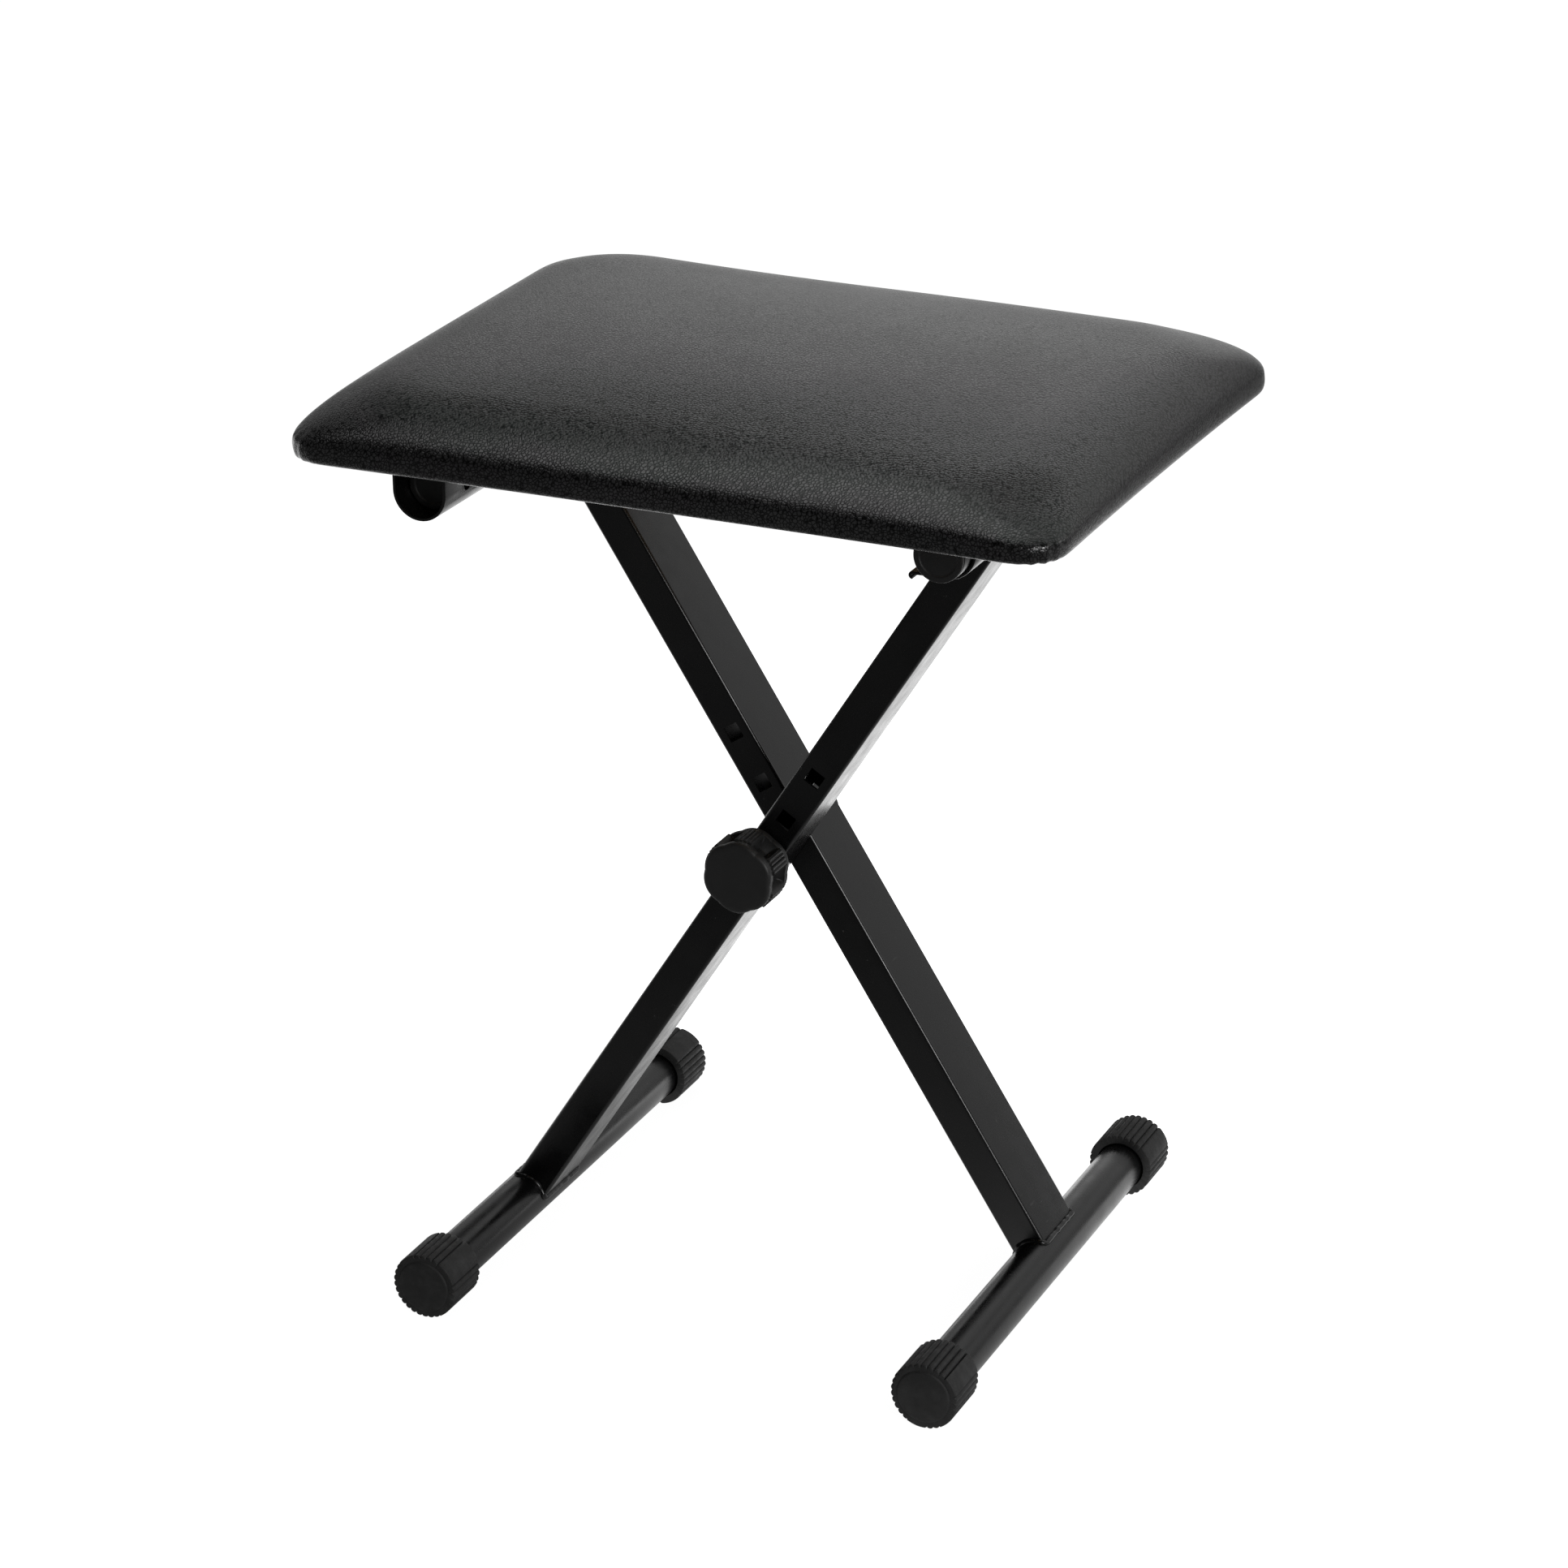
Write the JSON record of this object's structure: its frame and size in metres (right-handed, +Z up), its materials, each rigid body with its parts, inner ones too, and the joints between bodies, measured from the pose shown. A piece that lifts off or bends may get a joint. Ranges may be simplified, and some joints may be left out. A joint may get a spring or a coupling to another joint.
{
  "type": "folding stool",
  "caption": "Folding X-frame stool with a padded vinyl seat, crossed rectangular legs, floor bars with ribbed rubber caps and a clamp knob at the crossing.",
  "frame": {"origin": "on the floor, under the middle of the seat", "axes": "+Z up; X along the seat's long side, in the plane of the crossed legs; Y along the floor bars, with the knob on the -Y side"},
  "size_m": [0.4078, 0.3172, 0.5016],
  "materials": {
    "black_paint": "satin black powder coat on steel tube",
    "black_rubber": "matte moulded rubber",
    "black_plastic": "fine-textured moulded plastic",
    "zinc_steel": "bright zinc plating",
    "plywood": "bare plywood",
    "foam": "open-cell upholstery foam",
    "black_vinyl": "black artificial leather with fine pebble grain, satin"
  },
  "bodies": {
    "rear_frame": {"rear_leg": "black_paint", "rear_floor_bar": "black_paint", "rear_top_tube": "black_paint", "rear_bar_cap_near": "black_rubber", "rear_bar_cap_far": "black_rubber", "rear_tube_plug_near": "black_plastic", "rear_tube_plug_far": "black_plastic", "carriage_bolt": "zinc_steel"},
    "front_frame": {"front_leg": "black_paint", "front_floor_bar": "black_paint", "front_top_tube": "black_paint", "front_bar_cap_near": "black_rubber", "front_bar_cap_far": "black_rubber", "front_tube_plug_near": "black_plastic", "front_tube_plug_far": "black_plastic", "leg_spacer": "black_plastic", "knob_washer": "zinc_steel"},
    "seat": {"seat_board": "plywood", "seat_foam": "foam", "seat_cover": "black_vinyl", "hinge_channel": "black_paint", "seat_hook_near": "black_paint", "seat_hook_far": "black_paint", "bracket_screw_1": "zinc_steel", "bracket_screw_2": "zinc_steel", "bracket_screw_3": "zinc_steel", "bracket_screw_4": "zinc_steel", "bracket_screw_5": "zinc_steel", "bracket_screw_6": "zinc_steel", "bracket_screw_7": "zinc_steel", "bracket_screw_8": "zinc_steel", "bracket_screw_9": "zinc_steel", "bracket_screw_10": "zinc_steel"},
    "knob": {"clamp_knob": "black_plastic", "knob_nut": "zinc_steel"}
  },
  "joints": [
    {"name": "scissor_fold", "type": "hinge", "parent": "rear_frame", "child": "front_frame", "pos_m": [0, 0, 0.23931], "axis": [0, -1, 0], "range_deg": [0, 55]},
    {"name": "seat_tilt", "type": "hinge", "parent": "rear_frame", "child": "seat", "pos_m": [-0.13432, 0, 0.45016], "axis": [0, -1, 0], "range_deg": [0, 27.5]},
    {"name": "knob_turn", "type": "hinge", "parent": "rear_frame", "child": "knob", "pos_m": [0, -0.055, 0.23931], "axis": [0, -1, 0], "continuous": true}
  ],
  "couplings": [
    {"joint": "seat_tilt", "follows": "scissor_fold", "ratio": 0.5}
  ]
}
